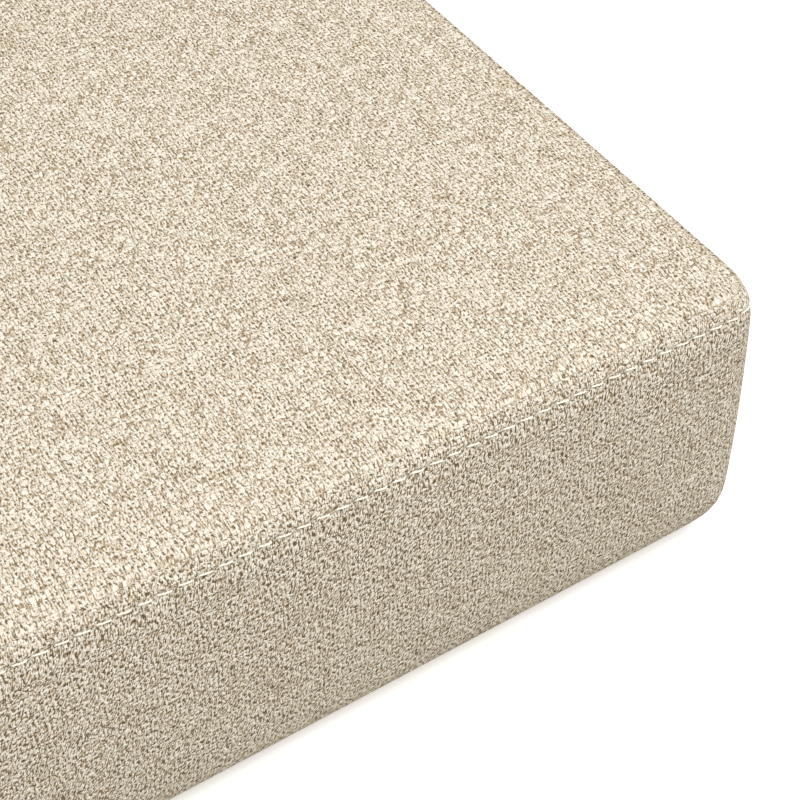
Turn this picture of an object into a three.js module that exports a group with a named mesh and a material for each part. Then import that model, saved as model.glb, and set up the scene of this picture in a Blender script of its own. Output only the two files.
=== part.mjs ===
// Window seat cushion: a foam pad in a sewn fabric cover, lying on its flat underside.
// Units are millimetres, +Z is up and the origin is under the middle of the cushion.
// The cover is a top panel, a boxing strip round the four sides and a bottom panel.
// The top panel is seamed to the boxing, and a row of topstitching runs just below that seam.
// Filled, the cover and its foam are one solid: crowned on top, drawn in along the sides.
import * as THREE from "three";
import { mergeVertices } from "three/addons/utils/BufferGeometryUtils.js";

// Overall sizes
const LENGTH = 900;
const DEPTH = 400;
const SEAM_HEIGHT = 50;
const CROWN_RISE = 10;
const CROWN_REACH = 200;
const CROWN_FULLNESS = 2;

// The sides between the corners
const LONG_SIDE_DRAW = 3.4;
const SHORT_SIDE_DRAW = 1;
const SHORT_SIDE_STRAIGHTNESS = 4;
const BOXING_SWELL = 0.4;
const CORNER_RADIUS = 5;
const BOTTOM_EDGE_RADIUS = 8;

// The seam at the top edge and the topstitching under it
const STITCH_BELOW_SEAM = 3.2;
const STITCH_ROW_HEIGHT = SEAM_HEIGHT - STITCH_BELOW_SEAM;
const STITCH_GROOVE_DEPTH = 0.6;
const STITCH_GROOVE_HALF_WIDTH = 1;
const SHOULDER_FOOT_INSET = 0.1;
const SHOULDER_TURN = Math.PI / 3;
const SEAM_INSET = 1.3;
const SEAM_VALLEY_INSET = 1.65;
const SEAM_VALLEY_DEPTH = 0.5;
const TOP_PANEL_INSET = 2.2;
const TOP_PANEL_LIFT = 0.3;

// How finely the surface is divided
const QUARTER_TURN = Math.PI / 2;
const SAME_POINT = 1e-3;
const CORNER_STEPS = 4;
const LONG_SIDE_STEPS = 20;
const SHORT_SIDE_STEPS = 10;
const EDGE_STEPS = 4;
const SHOULDER_STEPS = 3;
const BOXING_ROWS = [0.3, 0.5, 0.7];
const TOP_PANEL_STEPS = [0.03, 0.08, 0.16, 0.28, 0.45, 0.65, 0.85, 1];

// One ring of the side's section: how far it is set in from the outline, and its height.
function sideSection() {
  const rings = [];
  for (let step = 0; step <= EDGE_STEPS; step++) {
    const turn = (step / EDGE_STEPS) * QUARTER_TURN;
    rings.push({
      inset: BOTTOM_EDGE_RADIUS * (1 - Math.sin(turn)),
      height: BOTTOM_EDGE_RADIUS * (1 - Math.cos(turn)),
    });
  }
  for (const share of BOXING_ROWS) {
    rings.push({ inset: 0, height: SEAM_HEIGHT * share });
  }
  rings.push({ inset: 0, height: STITCH_ROW_HEIGHT - STITCH_GROOVE_HALF_WIDTH });
  rings.push({ inset: STITCH_GROOVE_DEPTH, height: STITCH_ROW_HEIGHT });
  const shoulderFoot = STITCH_ROW_HEIGHT + STITCH_GROOVE_HALF_WIDTH;
  for (let step = 0; step <= SHOULDER_STEPS; step++) {
    const turn = (step / SHOULDER_STEPS) * SHOULDER_TURN;
    const rise = Math.sin(turn) / Math.sin(SHOULDER_TURN);
    const lean = (1 - Math.cos(turn)) / (1 - Math.cos(SHOULDER_TURN));
    rings.push({
      inset: SHOULDER_FOOT_INSET + (SEAM_INSET - SHOULDER_FOOT_INSET) * lean,
      height: shoulderFoot + (SEAM_HEIGHT - shoulderFoot) * rise,
    });
  }
  rings.push({ inset: SEAM_VALLEY_INSET, height: SEAM_HEIGHT - SEAM_VALLEY_DEPTH });
  rings.push({ inset: TOP_PANEL_INSET, height: SEAM_HEIGHT + TOP_PANEL_LIFT });
  return rings;
}

// How far round one side a point lies, as -1 at one corner, 0 at the middle and 1 at the other.
function evenSteps(count) {
  return Array.from({ length: count - 1 }, (_, i) => ((i + 1) / count) * 2 - 1);
}

// The plan outline, counter-clockwise from the right-hand end, set in by a distance.
// The boxing is widest at half height. The foot of each side is straight, and its seam is
// drawn in between the corners.
function outlineAt(inset, height) {
  const level = height / SEAM_HEIGHT;
  const slack = BOXING_SWELL * (1 - Math.sin(Math.PI * level));
  const halfLength = LENGTH / 2 - slack - inset;
  const halfDepth = DEPTH / 2 - slack - inset;
  const longBow = (share) => LONG_SIDE_DRAW * level * (1 - share * share);
  const shortBow = (share) =>
    SHORT_SIDE_DRAW * level * (1 - share * share) ** SHORT_SIDE_STRAIGHTNESS;
  const shortSide = evenSteps(SHORT_SIDE_STEPS);
  const longSide = evenSteps(LONG_SIDE_STEPS);
  const points = [];
  const corner = (signX, signY, startTurn) => {
    for (let step = 0; step <= CORNER_STEPS; step++) {
      const turn = startTurn + (step / CORNER_STEPS) * QUARTER_TURN;
      const x = signX * (halfLength - CORNER_RADIUS) + CORNER_RADIUS * Math.cos(turn);
      const y = signY * (halfDepth - CORNER_RADIUS) + CORNER_RADIUS * Math.sin(turn);
      points.push(new THREE.Vector2(x, y));
    }
  };
  const straightX = halfLength - CORNER_RADIUS;
  const straightY = halfDepth - CORNER_RADIUS;
  for (const share of shortSide) {
    const x = halfLength - shortBow(share);
    points.push(new THREE.Vector2(x, share * straightY));
  }
  corner(1, 1, 0);
  for (const share of longSide) {
    const y = halfDepth - longBow(share);
    points.push(new THREE.Vector2(-share * straightX, y));
  }
  corner(-1, 1, QUARTER_TURN);
  for (const share of shortSide) {
    const x = -halfLength + shortBow(share);
    points.push(new THREE.Vector2(x, -share * straightY));
  }
  corner(-1, -1, 2 * QUARTER_TURN);
  for (const share of longSide) {
    const y = -halfDepth + longBow(share);
    points.push(new THREE.Vector2(share * straightX, y));
  }
  corner(1, -1, 3 * QUARTER_TURN);
  return points;
}

// The point on the middle line of the cushion that a point of the outline runs in to.
function middlePoint(point) {
  const reach = LENGTH / 2 - DEPTH / 2;
  return new THREE.Vector2(THREE.MathUtils.clamp(point.x, -reach, reach), 0);
}

// Height of the filled top panel: it rises steeply at its edges and flattens inwards.
function crownHeight(point) {
  const rise = (distance) => {
    const left = 1 - THREE.MathUtils.clamp(distance / CROWN_REACH, 0, 1);
    return 1 - left ** CROWN_FULLNESS;
  };
  const fromEnd = LENGTH / 2 - Math.abs(point.x);
  const fromSide = DEPTH / 2 - Math.abs(point.y);
  return SEAM_HEIGHT + TOP_PANEL_LIFT + CROWN_RISE * rise(fromEnd) * rise(fromSide);
}

// All rings of the solid, from the middle of the underside round to the middle of the top.
function cushionRings() {
  const section = sideSection();
  const rings = section.map(({ inset, height }) =>
    outlineAt(inset, height).map((p) => new THREE.Vector3(p.x, p.y, height)),
  );
  const bottomEdge = outlineAt(BOTTOM_EDGE_RADIUS, 0);
  rings.unshift(
    bottomEdge.map((p) => {
      const middle = middlePoint(p);
      return new THREE.Vector3(middle.x, middle.y, 0);
    }),
  );
  const topEdge = outlineAt(TOP_PANEL_INSET, SEAM_HEIGHT);
  for (const share of TOP_PANEL_STEPS) {
    rings.push(
      topEdge.map((p) => {
        const inner = p.clone().lerp(middlePoint(p), share);
        return new THREE.Vector3(inner.x, inner.y, crownHeight(inner));
      }),
    );
  }
  return rings;
}

// Skins the rings with triangles that face out, leaving out those that close to a line.
function skin(rings) {
  const positions = [];
  const pushTriangle = (a, b, c) => {
    const sides = [a.distanceTo(b), b.distanceTo(c), c.distanceTo(a)];
    if (Math.min(...sides) < SAME_POINT) {
      return;
    }
    positions.push(a.x, a.y, a.z, b.x, b.y, b.z, c.x, c.y, c.z);
  };
  const count = rings[0].length;
  for (let level = 0; level + 1 < rings.length; level++) {
    for (let i = 0; i < count; i++) {
      const next = (i + 1) % count;
      const lowerA = rings[level][i];
      const lowerB = rings[level][next];
      const upperA = rings[level + 1][i];
      const upperB = rings[level + 1][next];
      pushTriangle(lowerA, lowerB, upperB);
      pushTriangle(lowerA, upperB, upperA);
    }
  }
  const geometry = new THREE.BufferGeometry();
  geometry.setAttribute("position", new THREE.Float32BufferAttribute(positions, 3));
  const merged = mergeVertices(geometry, SAME_POINT);
  merged.computeVertexNormals();
  return merged;
}

// Beige woven upholstery cloth over the foam.
function makeCushion() {
  const cloth = new THREE.MeshStandardMaterial({
    color: new THREE.Color(0.74, 0.66, 0.53),
    roughness: 0.95,
    metalness: 0,
  });
  const cushion = new THREE.Mesh(skin(cushionRings()), cloth);
  cushion.name = "cushion";
  return cushion;
}

const windowSeatCushion = new THREE.Group();
windowSeatCushion.add(makeCushion());

export default windowSeatCushion;
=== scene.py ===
import math

import bmesh
import bpy
from mathutils import Matrix, Vector
from mathutils.bvhtree import BVHTree


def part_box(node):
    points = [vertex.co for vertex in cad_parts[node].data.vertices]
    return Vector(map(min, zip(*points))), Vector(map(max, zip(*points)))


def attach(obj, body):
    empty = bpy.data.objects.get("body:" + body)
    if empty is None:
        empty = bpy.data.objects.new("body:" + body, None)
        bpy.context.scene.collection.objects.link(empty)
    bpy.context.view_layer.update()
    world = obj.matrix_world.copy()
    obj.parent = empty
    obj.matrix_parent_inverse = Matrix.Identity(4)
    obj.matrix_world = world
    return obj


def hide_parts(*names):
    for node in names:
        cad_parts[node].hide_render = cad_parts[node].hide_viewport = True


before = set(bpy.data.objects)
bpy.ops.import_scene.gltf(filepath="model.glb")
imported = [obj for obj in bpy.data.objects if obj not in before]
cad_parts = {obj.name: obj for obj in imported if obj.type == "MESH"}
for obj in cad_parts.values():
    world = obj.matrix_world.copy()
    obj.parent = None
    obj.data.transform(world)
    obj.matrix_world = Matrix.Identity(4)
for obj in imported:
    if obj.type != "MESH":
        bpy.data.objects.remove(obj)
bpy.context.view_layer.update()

# The cushion: a foam pad in a cover of beige upholstery cloth, cut as a top panel, a boxing strip
# round the four sides and a bottom panel. The foam fills the cover, so the top is crowned, the
# long sides are drawn in, and the seam round the top panel stands as a small ridge.
lowest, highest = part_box("cushion")
half_length = (highest.x - lowest.x) / 2
half_depth = (highest.y - lowest.y) / 2
seam_height = 0.050
panel_lift = 0.0003
crown_rise = highest.z - seam_height - panel_lift
crown_reach = half_depth
long_side_draw = 0.0034
short_side_draw = 0.001
short_side_straightness = 4
boxing_swell = 0.0004
slack_crown = 0.85
corner_radius = 0.0053
seam_corner_radius = 0.0042
bottom_radius = 0.008
stitch_height = seam_height - 0.0032
stitch_groove = 0.0005

# The section of one side as (set in from the outline, height), from the edge of the top panel
# over its seam and the topstitched band, down the boxing and round the bottom edge.
top_lip = [(0.0022, seam_height + panel_lift), (0.0019, seam_height + 0.0001)]
seam_valley = [(0.0016, seam_height - 0.0003)]
ridge = [(0.0014, 0.0500), (0.0012, 0.0501)]
band = [(0.0010, 0.0497), (0.00075, 0.0490), (0.00045, 0.0482), (0.0002, 0.0475)]
groove = [(stitch_groove, stitch_height)]
boxing = [(0.00005, 0.0460), (0, 0.044), (0, 0.038), (0, 0.031), (0, 0.024), (0, 0.017), (0, 0.012)]
bottom_turns = [math.radians(turn) for turn in (0, 22.5, 45, 67.5, 90)]
bottom_edge = [
    (bottom_radius * (1 - math.cos(turn)), bottom_radius * (1 - math.sin(turn))) for turn in bottom_turns
]
section = top_lip + seam_valley + ridge + band + groove + boxing + bottom_edge
seam_row = len(top_lip)
groove_row = section.index(groove[0])
bottom_row = section.index(bottom_edge[0])
run_down = [0.0]
for (inset_a, height_a), (inset_b, height_b) in zip(section, section[1:]):
    run_down.append(run_down[-1] + math.hypot(inset_b - inset_a, height_b - height_a))


def plan(share_x, share_y, inset, height):
    """A point of the plan, given as a share of each half size, on the outline set in by inset."""
    level = min(height / seam_height, 1)
    inset = inset + boxing_swell * (1 - math.sin(math.pi * level))
    x = share_x * (half_length - inset)
    y = share_y * (half_depth - inset)
    turn = corner_radius + (seam_corner_radius - corner_radius) * level
    past_x = abs(x) - (half_length - inset - turn)
    past_y = abs(y) - (half_depth - inset - turn)
    if past_x > 0 and past_y > 0:
        pull = max(past_x, past_y) / math.hypot(past_x, past_y)
        x -= math.copysign(past_x * (1 - pull), x)
        y -= math.copysign(past_y * (1 - pull), y)
    drawn_x = short_side_draw * level * (1 - share_y * share_y) ** short_side_straightness
    drawn_y = long_side_draw * level * (1 - share_x * share_x)
    return x * (1 - drawn_x / half_length), y * (1 - drawn_y / half_depth)


def side_point(share_x, share_y, inset, height):
    """A point on the side of the cushion."""
    x, y = plan(share_x, share_y, inset, height)
    return Vector((x, y, height))


def rise(distance):
    """The share of the crown's rise at a distance from one edge."""
    left = 1 - min(distance / crown_reach, 1)
    return 1 - left * left


def top_point(share_x, share_y):
    """A point on the crowned top panel."""
    inset, height = section[0]
    x, y = plan(share_x, share_y, inset, height)
    from_end = half_length - inset - abs(x)
    from_side = half_depth - inset - abs(y)
    crown = slack_crown * crown_rise * rise(from_end) * rise(from_side)
    return Vector((x, y, height + crown))


# The cover starts as a box, cut into rows that lie closer together towards the corners.
# Beyond box_face, a place in that box counts as lying on its outside.
box_face = 0.999
cuts_along = 95
cuts_across = 47
cover = bmesh.new()
bmesh.ops.create_cube(cover, size=2)
for axis, cuts in enumerate((cuts_along, cuts_across, len(section) - 2)):
    along = [e for e in cover.edges if abs(e.verts[0].co[axis] - e.verts[1].co[axis]) > 0.01]
    bmesh.ops.subdivide_edges(cover, edges=along, cuts=cuts, use_grid_fill=True)


def share(unit):
    """The place of a row of the box, -1 to 1, as a share of the half size."""
    return math.sin(unit * math.pi / 2)


def row_of(unit):
    """Which row of the section a height of the box, 1 to -1, stands for."""
    return round((1 - unit) / 2 * (len(section) - 1))


# Each panel keeps its own run of the weave, in metres, so that yarns follow the edges of the cloth.
cloth_run = cover.loops.layers.uv.new("cloth_run")
boxing_run_start = 1.0
for face in cover.faces:
    middle = face.calc_center_median()
    top_panel = middle.z > box_face or max(row_of(v.co.z) for v in face.verts) <= seam_row
    bottom_panel = middle.z < -box_face
    for loop in face.loops:
        unit = loop.vert.co
        row = row_of(unit.z)
        inset = section[row][0]
        x = share(unit.x) * half_length
        y = share(unit.y) * half_depth
        if top_panel or bottom_panel:
            panel_x = share(unit.x) * (half_length - inset)
            panel_y = share(unit.y) * (half_depth - inset)
            loop[cloth_run].uv = (panel_x, panel_y)
            continue
        if middle.y < -box_face:
            round_run = x
        elif middle.x > box_face:
            round_run = half_length + half_depth + y
        elif middle.y > box_face:
            round_run = 2 * half_length + 2 * half_depth - x
        else:
            round_run = 3 * half_length + 3 * half_depth - y
        loop[cloth_run].uv = (round_run, boxing_run_start - run_down[row])

held = cover.verts.layers.deform.verify()
for vert in cover.verts:
    unit = vert.co.copy()
    share_x = share(unit.x)
    share_y = share(unit.y)
    row = row_of(unit.z)
    on_top = unit.z > box_face and max(abs(unit.x), abs(unit.y)) < box_face
    if on_top:
        vert.co = top_point(share_x, share_y)
    elif unit.z < -box_face:
        x, y = plan(share_x, share_y, bottom_radius, 0)
        vert.co = (x, y, 0)
    else:
        vert.co = side_point(share_x, share_y, *section[row])
    at_corner = min(abs(vert.co.x) - half_length, abs(vert.co.y) - half_depth) > -corner_radius
    vert[held][0] = 0.0 if on_top or (groove_row < row < bottom_row and not at_corner) else 1.0

for face in cover.faces:
    face.smooth = True
cushion_mesh = bpy.data.meshes.new("cushion_cover")
cover.to_mesh(cushion_mesh)
cover.free()
cushion = bpy.data.objects.new("cushion_cover", cushion_mesh)
bpy.context.scene.collection.objects.link(cushion)

# The foam presses the cloth out between its seams: the cover is swollen as simulated cloth, held
# at the seam, the corners and the underside, and no point moves further than swell_limit.
swell_limit = 0.002
foam_pressure = 4
settling_frames = 20
cushion.vertex_groups.new(name="held")
slack = [vert.co.copy() for vert in cushion_mesh.vertices]
filling = cushion.modifiers.new("filling", "CLOTH")
filling.settings.vertex_group_mass = "held"
filling.settings.use_pressure = True
filling.settings.uniform_pressure_force = foam_pressure
filling.settings.effector_weights.gravity = 0
for moment in range(1, settling_frames + 1):
    bpy.context.scene.frame_set(moment)
filled = cushion.evaluated_get(bpy.context.evaluated_depsgraph_get()).to_mesh()
full = [vert.co.copy() for vert in filled.vertices]
cushion.modifiers.remove(filling)
bpy.context.scene.frame_set(1)
for vert, start, end in zip(cushion_mesh.vertices, slack, full):
    push = end - start
    vert.co = start + push * swell_limit / (swell_limit + push.length)
rounding = cushion.modifiers.new("rounding", "SUBSURF")
rounding.levels = 1
rounding.render_levels = 1
rounding.uv_smooth = "NONE"

# The cover cloth: a plain weave of two sets of mixed yarns, cream, beige and tan. Each yarn goes
# over one and under the next, and the gaps where they cross are darkened with painted shade.
cloth = bpy.data.materials.new("cover_cloth")
cloth.use_nodes = True
nodes = cloth.node_tree.nodes
links = cloth.node_tree.links
shader = nodes["Principled BSDF"]


def calc(operation, *values):
    """One step of arithmetic in the cloth's nodes."""
    node = nodes.new("ShaderNodeMath")
    node.operation = operation
    for socket, value in zip(node.inputs, values):
        if isinstance(value, (int, float)):
            socket.default_value = value
        else:
            links.new(value, socket)
    return node.outputs[0]


def mottle(across, along, detail=2.0):
    """Cloudy variation over two running lengths, from 0 to 1."""
    place = nodes.new("ShaderNodeCombineXYZ")
    links.new(across, place.inputs["X"])
    links.new(along, place.inputs["Y"])
    cloud = nodes.new("ShaderNodeTexNoise")
    cloud.noise_dimensions = "2D"
    cloud.inputs["Scale"].default_value = 1
    cloud.inputs["Detail"].default_value = detail
    links.new(place.outputs["Vector"], cloud.inputs["Vector"])
    return cloud.outputs["Fac"]


def centred(value, size):
    """A 0 to 1 variation as plus or minus about half its size."""
    return calc("MULTIPLY", calc("SUBTRACT", value, 0.5), size)


def between(value, low, high):
    """How far a value lies on the way from low to high, held at 0 and 1."""
    node = nodes.new("ShaderNodeMapRange")
    node.clamp = True
    links.new(value, node.inputs["Value"])
    node.inputs["From Min"].default_value = low
    node.inputs["From Max"].default_value = high
    return node.outputs["Result"]


yarn_across = 0.00076
yarn_along = 0.00082
wander_x = 1.3
wander_y = 2.0
deepest_gap = -0.6
run = nodes.new("ShaderNodeUVMap")
run.uv_map = "cloth_run"
split = nodes.new("ShaderNodeSeparateXYZ")
links.new(run.outputs["UV"], split.inputs["Vector"])
run_x = split.outputs["X"]
run_y = split.outputs["Y"]
count_x = calc("DIVIDE", run_x, yarn_across)
count_y = calc("DIVIDE", run_y, yarn_along)
shift_x = centred(mottle(calc("MULTIPLY", count_x, 0.7), calc("MULTIPLY", count_y, 0.5)), wander_x)
shift_y = centred(mottle(calc("MULTIPLY", count_y, 0.9), calc("MULTIPLY", count_x, 0.6)), wander_y)
lie_x = calc("ADD", count_x, shift_x)
lie_y = calc("ADD", count_y, shift_y)
index_x = calc("FLOOR", lie_x)
index_y = calc("FLOOR", lie_y)
off_x = calc("SUBTRACT", calc("SUBTRACT", lie_x, index_x), 0.5)
off_y = calc("SUBTRACT", calc("SUBTRACT", lie_y, index_y), 0.5)
odd = calc("MODULO", calc("ABSOLUTE", calc("ADD", index_x, index_y)), 2.0)
over = calc("SUBTRACT", 1.0, calc("MULTIPLY", odd, 2.0))


def yarn_height(off, along, lifted, thin):
    """Height of a yarn's round back at a distance from its middle, as it goes over and under."""
    width = calc("DIVIDE", off, thin)
    back = calc("SUBTRACT", 1.0, calc("MULTIPLY", width, width))
    wave = calc("MULTIPLY", calc("COSINE", calc("MULTIPLY", along, math.pi)), lifted)
    return calc("ADD", calc("MULTIPLY", back, 0.5), calc("MULTIPLY", wave, 0.5))


# On the boxing the yarns lean more. From the seam down the yarns stand prouder and their gaps grow
# deeper, and painted shade darkens the gaps and strengthens the fibres' tone, as the boxing stands in
# its own shade.
boxing_shade_over = 0.006
on_boxing = calc("GREATER_THAN", run_y, boxing_run_start / 2)
lean = calc("MULTIPLY_ADD", on_boxing, 0.3, 0.1)
below_seam = between(run_y, boxing_run_start, boxing_run_start - boxing_shade_over)
shaded_boxing = calc("MULTIPLY", on_boxing, below_seam)
proud = calc("MULTIPLY_ADD", shaded_boxing, 0.2, 0.06)
leant_off = calc("SUBTRACT", off_x, calc("MULTIPLY", calc("MULTIPLY", off_y, over), lean))
slub_y = mottle(calc("MULTIPLY", index_x, 3.3), calc("MULTIPLY", count_y, 0.4))
slub_x = mottle(calc("MULTIPLY", index_y, 3.3), calc("MULTIPLY", count_x, 0.4))
thin_y = calc("ADD", 0.31, centred(slub_y, 0.25))
thin_x = calc("ADD", 0.42, centred(slub_x, 0.4))
height_y_run = calc("ADD", yarn_height(leant_off, off_y, over, thin_y), proud)
height_x_run = yarn_height(off_y, off_x, calc("MULTIPLY", over, -1.0), thin_x)
weave_height = calc("MAXIMUM", calc("MAXIMUM", height_y_run, height_x_run), deepest_gap)
y_run_shows = calc("GREATER_THAN", height_y_run, height_x_run)


def by_yarn(on_x_run, on_y_run):
    """A value of whichever yarn lies on top."""
    node = nodes.new("ShaderNodeMix")
    links.new(y_run_shows, node.inputs["Factor"])
    links.new(on_x_run, node.inputs["A"])
    links.new(on_y_run, node.inputs["B"])
    return node.outputs["Result"]


tone_y_run = mottle(calc("MULTIPLY", index_x, 7.31), calc("MULTIPLY", count_y, 0.5))
tone_x_run = mottle(calc("MULTIPLY", index_y, 5.17), calc("MULTIPLY", count_x, 0.5))
yarn_tone = by_yarn(calc("SUBTRACT", tone_x_run, 0.20), tone_y_run)
twist = calc("SUBTRACT", count_x, calc("MULTIPLY", count_y, lean))
fibres = mottle(calc("MULTIPLY", twist, 3.0), calc("MULTIPLY", count_y, 1.5), detail=1)
# Below the seam the fibres' variation is doubled: in the relief this is bump, in the colour it is
# painted shade.
fuzz = calc("MULTIPLY", centred(fibres, 0.66), calc("ADD", shaded_boxing, 1.0))
patches = mottle(calc("MULTIPLY", run_x, 220.0), calc("MULTIPLY", run_y, 190.0), detail=3)
tone = calc("ADD", centred(yarn_tone, 0.8), 0.50)
tone = calc("ADD", tone, centred(patches, 0.15))
speck = nodes.new("ShaderNodeTexWhiteNoise")
speck.noise_dimensions = "2D"
crossing = nodes.new("ShaderNodeCombineXYZ")
links.new(index_x, crossing.inputs["X"])
links.new(index_y, crossing.inputs["Y"])
links.new(crossing.outputs["Vector"], speck.inputs["Vector"])
tone = calc("ADD", tone, centred(speck.outputs["Value"], 0.3))
tone = calc("ADD", tone, calc("MULTIPLY", fuzz, 2.6))

colours = nodes.new("ShaderNodeValToRGB")
links.new(tone, colours.inputs["Fac"])
ramp = colours.color_ramp
ramp.elements[0].position = 0.05
ramp.elements[0].color = (0.36, 0.275, 0.18, 1)
ramp.elements[1].position = 0.72
ramp.elements[1].color = (0.87, 0.825, 0.75, 1)
beige = ramp.elements.new(0.36)
beige.color = (0.72, 0.645, 0.53, 1)

# Painted shade: the low places of the weave and its fibres are mixed towards dark brown, more so on the
# boxing below the seam.
gap_shade_height = calc("SUBTRACT", weave_height, calc("MULTIPLY", shaded_boxing, 0.2))
painted_gap_shade = between(calc("ADD", gap_shade_height, calc("MULTIPLY", fuzz, 2.0)), -0.25, 0.40)
shaded = nodes.new("ShaderNodeMix")
shaded.data_type = "RGBA"
shaded.inputs["A"].default_value = (0.17, 0.12, 0.06, 1)
links.new(painted_gap_shade, shaded.inputs["Factor"])
links.new(colours.outputs["Color"], shaded.inputs["B"])
links.new(shaded.outputs["Result"], shader.inputs["Base Color"])

relief = nodes.new("ShaderNodeBump")
relief.inputs["Strength"].default_value = 1.0
relief.inputs["Distance"].default_value = 0.00018
surface_height = calc("ADD", weave_height, fuzz)
links.new(surface_height, relief.inputs["Height"])
links.new(relief.outputs["Normal"], shader.inputs["Normal"])
shader.inputs["Roughness"].default_value = 0.95
shader.inputs["Specular IOR Level"].default_value = 0.15
cushion.data.materials.append(cloth)
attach(cushion, "root")
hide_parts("cushion")

# The topstitching: one row of cream thread round the boxing, just below the seam, which holds the
# seam allowances down. Each stitch lies on the cloth and dips into a needle hole at both ends.
stitch_pitch = 0.003
stitch_share = 0.74
thread_radius = 0.00014
thread_sides = 6
round_length = 4 * (half_length + half_depth)
stitch_count = round(round_length / stitch_pitch)
surface = BVHTree.FromObject(cushion, bpy.context.evaluated_depsgraph_get())


def round_shares(run):
    """The shares of the plan at a distance along the boxing, from the middle of the front."""
    run = (run + half_length) % round_length
    sides = ((-1, -1, 1, 0), (1, -1, 0, 1), (1, 1, -1, 0), (-1, 1, 0, -1))
    for corner_x, corner_y, step_x, step_y in sides:
        side = 2 * half_length if step_x else 2 * half_depth
        if run <= side:
            return corner_x + 2 * step_x * run / side, corner_y + 2 * step_y * run / side
        run -= side


def on_cloth(run, height):
    """The point of the cloth, and the way it faces, at a distance along the boxing and a height."""
    share_x, share_y = round_shares(run)
    place, facing, _, _ = surface.find_nearest(side_point(share_x, share_y, stitch_groove, height))
    return place, facing


# One stitch as (share of its length, lift off the cloth, slant down the cloth). Lift and slant are in
# thread radii.
stitch_length = stitch_share * round_length / stitch_count
stitch_shape = [
    (0.00, -1.2, 0.6), (0.06, 0.3, -0.8), (0.20, 0.8, -1.3), (0.50, 0.9, 0.0),
    (0.80, 0.8, 1.0), (0.94, 0.3, 1.4), (1.00, -1.2, 1.4),
]
one_stitch = bmesh.new()
sideways = Matrix.Rotation(math.pi / 2, 3, "Y")
bmesh.ops.create_circle(one_stitch, segments=thread_sides, radius=thread_radius)
bmesh.ops.rotate(one_stitch, verts=one_stitch.verts, matrix=sideways)
bmesh.ops.translate(one_stitch, verts=one_stitch.verts, vec=(0, stitch_shape[0][1] * thread_radius, 0))
loop_edges = one_stitch.edges[:]
for (from_along, from_lift, from_slant), (along, lift, slant) in zip(stitch_shape, stitch_shape[1:]):
    grown = bmesh.ops.extrude_edge_only(one_stitch, edges=loop_edges)["geom"]
    loop_verts = [g for g in grown if isinstance(g, bmesh.types.BMVert)]
    grown_edges = [g for g in grown if isinstance(g, bmesh.types.BMEdge)]
    loop_edges = [e for e in grown_edges if all(v in loop_verts for v in e.verts)]
    step_along = (along - from_along) * stitch_length
    step_out = (lift - from_lift) * thread_radius
    step_down = (slant - from_slant) * thread_radius
    bmesh.ops.translate(one_stitch, verts=loop_verts, vec=(step_along, step_out, step_down))
bmesh.ops.holes_fill(one_stitch, edges=one_stitch.edges, sides=thread_sides)
bmesh.ops.recalc_face_normals(one_stitch, faces=one_stitch.faces)
# The extrusion leaves the faces in a new order at each run, so they are sorted along the stitch.
sort_line = Vector((1, 0.1, 0.01))
one_stitch.faces.sort(key=lambda face: face.calc_center_median().dot(sort_line))
for face in one_stitch.faces:
    face.smooth = True
one_stitch_mesh = bpy.data.meshes.new("one_stitch")
one_stitch.to_mesh(one_stitch_mesh)
one_stitch.free()

stitches = bmesh.new()
for number in range(stitch_count):
    start = number * round_length / stitch_count
    place, facing = on_cloth(start, stitch_height)
    far_place, far_facing = on_cloth(start + stitch_length, stitch_height)
    along = (far_place - place).normalized()
    outward = (facing + far_facing).normalized()
    down = along.cross(outward)
    outward = down.cross(along)
    lay = Matrix((along, outward, down)).transposed().to_4x4()
    lay.translation = place
    laid = len(stitches.verts)
    stitches.from_mesh(one_stitch_mesh)
    stitches.verts.ensure_lookup_table()
    for vert in stitches.verts[laid:]:
        vert.co = lay @ vert.co
stitches_mesh = bpy.data.meshes.new("topstitching")
stitches.to_mesh(stitches_mesh)
stitches.free()
topstitching = bpy.data.objects.new("topstitching", stitches_mesh)
bpy.context.scene.collection.objects.link(topstitching)
thread = bpy.data.materials.new("stitch_thread")
thread.use_nodes = True
thread.node_tree.nodes["Principled BSDF"].inputs["Base Color"].default_value = (0.94, 0.90, 0.81, 1)
topstitching.data.materials.append(thread)
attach(topstitching, "root")

# The studio: a plain white floor under soft light from all round, with a large lamp overhead.
# The guide images of the denoiser are left unfiltered, so that the weave keeps its finest detail.
floor_sheet = bmesh.new()
bmesh.ops.create_grid(floor_sheet, x_segments=1, y_segments=1, size=6)
floor_mesh = bpy.data.meshes.new("floor")
floor_sheet.to_mesh(floor_mesh)
floor_sheet.free()
floor = bpy.data.objects.new("floor", floor_mesh)
bpy.context.scene.collection.objects.link(floor)
white = bpy.data.materials.new("floor_white")
white.use_nodes = True
paint = white.node_tree.nodes["Principled BSDF"].inputs
paint["Base Color"].default_value = (0.9, 0.9, 0.9, 1)
paint["Roughness"].default_value = 1
paint["Emission Color"].default_value = (1, 1, 1, 1)
paint["Emission Strength"].default_value = 0.2
floor.data.materials.append(white)
floor.visible_diffuse = False

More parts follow.
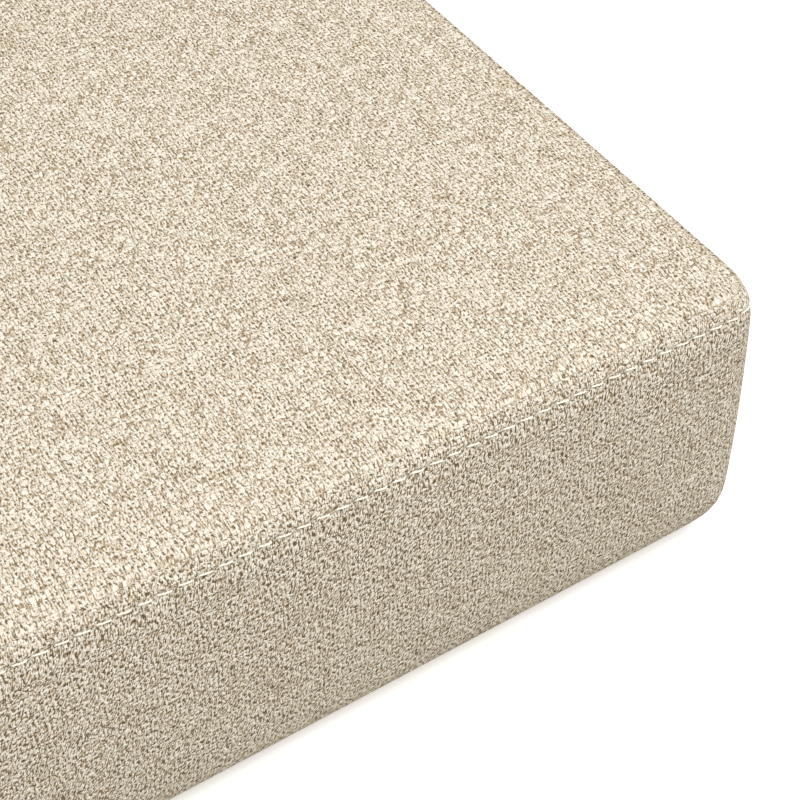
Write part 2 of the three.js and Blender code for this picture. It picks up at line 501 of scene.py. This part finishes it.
world = bpy.data.worlds.new("studio")
world.use_nodes = True
sky = world.node_tree.nodes
direction = sky.new("ShaderNodeTexCoord")
upward = sky.new("ShaderNodeSeparateXYZ")
fade = sky.new("ShaderNodeMapRange")
fade.inputs["From Min"].default_value = -0.4
fade.inputs["From Max"].default_value = 0.6
fade.inputs["To Min"].default_value = 0.64
fade.inputs["To Max"].default_value = 0.68
seen = sky.new("ShaderNodeLightPath")
brightness = sky.new("ShaderNodeMix")
brightness.inputs["B"].default_value = 1.0
world.node_tree.links.new(direction.outputs["Generated"], upward.inputs["Vector"])
world.node_tree.links.new(upward.outputs["Z"], fade.inputs["Value"])
world.node_tree.links.new(seen.outputs["Is Camera Ray"], brightness.inputs["Factor"])
world.node_tree.links.new(fade.outputs["Result"], brightness.inputs["A"])
world.node_tree.links.new(brightness.outputs["Result"], sky["Background"].inputs["Strength"])
sky["Background"].inputs["Color"].default_value = (1, 0.95, 0.825, 1)
bpy.context.scene.world = world
overhead = bpy.data.lights.new("overhead", "AREA")
overhead.shape = "DISK"
overhead.size = 1.2
overhead.energy = 23.5
overhead.color = (0.97, 0.985, 1.0)
lamp = bpy.data.objects.new("overhead", overhead)
lamp.location = (0.85, -1.0, 1.4)
front_corner = Vector((half_length, -half_depth, 0))
lamp.rotation_euler = (front_corner - lamp.location).to_track_quat("-Z", "Y").to_euler()
bpy.context.scene.collection.objects.link(lamp)
bpy.context.scene.view_settings.view_transform = "Standard"
bpy.context.scene.cycles.denoising_prefilter = "NONE"

# The camera looks down on the front right-hand corner.
camera_data = bpy.data.cameras.new("camera")
camera_data.lens = 114.28
camera_data.sensor_width = 36
camera_data.clip_start = 0.01
camera = bpy.data.objects.new("camera", camera_data)
look_round, look_down, look_roll = (math.radians(a) for a in (34.744, 45.449, 0.692))
place = Matrix.Translation((half_length - 0.19398, -half_depth - 0.18768, 0.29598))
turn = Matrix.Rotation(-look_round, 4, "Z") @ Matrix.Rotation(math.pi / 2 - look_down, 4, "X")
camera.matrix_world = place @ turn @ Matrix.Rotation(look_roll, 4, "Z")
bpy.context.scene.collection.objects.link(camera)
bpy.context.scene.camera = camera
